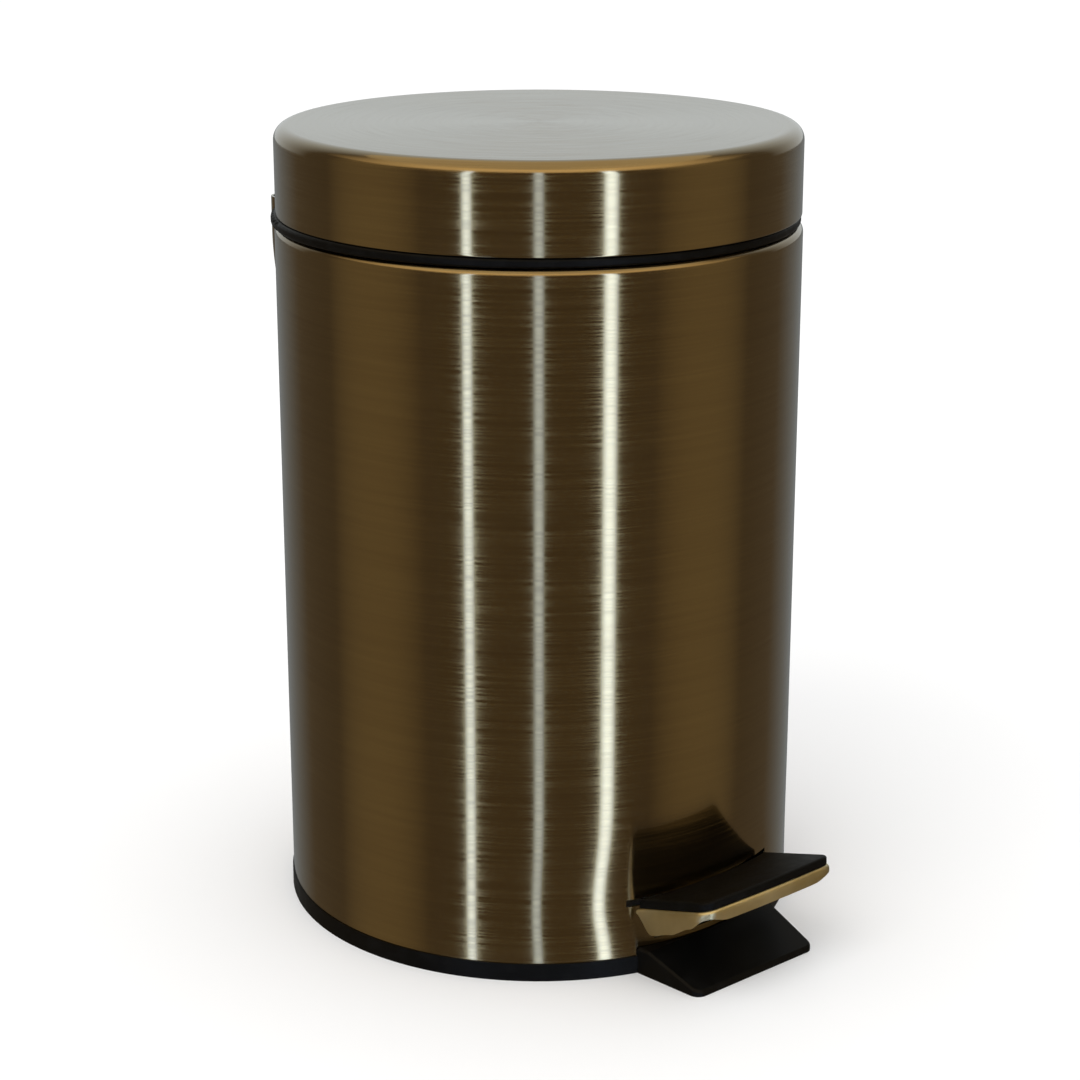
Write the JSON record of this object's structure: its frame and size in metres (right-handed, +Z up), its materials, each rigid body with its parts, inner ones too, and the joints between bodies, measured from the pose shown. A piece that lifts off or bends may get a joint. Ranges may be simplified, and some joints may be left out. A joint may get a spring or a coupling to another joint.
{
  "type": "pedal trash can",
  "caption": "Round brass-finish steel pedal bin with a hinged lid, a foot pedal, a push-rod linkage and a lift-out bucket with a bail.",
  "frame": {"origin": "the can's axis at the floor", "axes": "+Z up, -Y towards the pedal, +Y towards the lid hinge, +X to the right as seen from the pedal's side"},
  "size_m": [0.1688, 0.2105, 0.257],
  "materials": {
    "brass_finish_steel": "circumferentially brushed, antique brass lacquer",
    "pedal_brass": "satin champagne brass",
    "black_plastic": "satin moulded",
    "pad_rubber": "matte",
    "bucket_plastic": "fine moulded texture",
    "grip_plastic": "smooth moulded",
    "zinc_wire": "zinc plated wire",
    "zinc_steel": "zinc plated sheet"
  },
  "bodies": {
    "can": {"outer_shell": "brass_finish_steel", "top_collar": "black_plastic", "base_moulding": "black_plastic", "base_plate": "zinc_steel", "base_screws": "zinc_steel", "lever_bracket": "zinc_steel", "bracket_rivets": "zinc_steel", "lever_pin": "zinc_steel", "rod_guide": "zinc_steel", "rear_cover": "brass_finish_steel", "cover_rivets": "brass_finish_steel", "hinge_pin": "zinc_steel"},
    "lid": {"lid_shell": "brass_finish_steel", "lid_hinge_plate": "brass_finish_steel", "lid_rivets": "brass_finish_steel"},
    "pedal": {"pedal_tread": "pedal_brass", "pedal_pad": "pad_rubber", "lever_arm": "zinc_steel", "tread_rivets": "pedal_brass"},
    "rod": {"push_rod": "zinc_wire", "rod_clips": "zinc_steel"},
    "bucket": {"bucket": "bucket_plastic"},
    "bail": {"bail_handle": "zinc_wire", "bail_grip": "grip_plastic"}
  },
  "joints": [
    {"name": "lid_hinge", "type": "hinge", "parent": "can", "child": "lid", "pos_m": [0, 0.08849, 0.227], "axis": [-1, 0, 0], "range_deg": [0, 70]},
    {"name": "pedal_pivot", "type": "hinge", "parent": "can", "child": "pedal", "pos_m": [0, -0.04, 0.016], "axis": [1, 0, 0], "range_deg": [0, 6.76]},
    {"name": "rod_slide", "type": "slide", "parent": "can", "child": "rod", "axis": [0, 0, 1], "range_m": [0, 0.014]},
    {"name": "bucket_lift", "type": "slide", "parent": "can", "child": "bucket", "axis": [0, 0, 1], "range_m": [0, 0.012]},
    {"name": "bail_swing", "type": "hinge", "parent": "bucket", "child": "bail", "pos_m": [0, 0, 0.212], "axis": [-1, 0, 0], "range_deg": [0, 22]}
  ],
  "couplings": [
    {"joint": "pedal_pivot", "follows": "lid_hinge", "ratio": 0.09657},
    {"joint": "rod_slide", "follows": "lid_hinge", "m_per_rad": 0.01145}
  ]
}
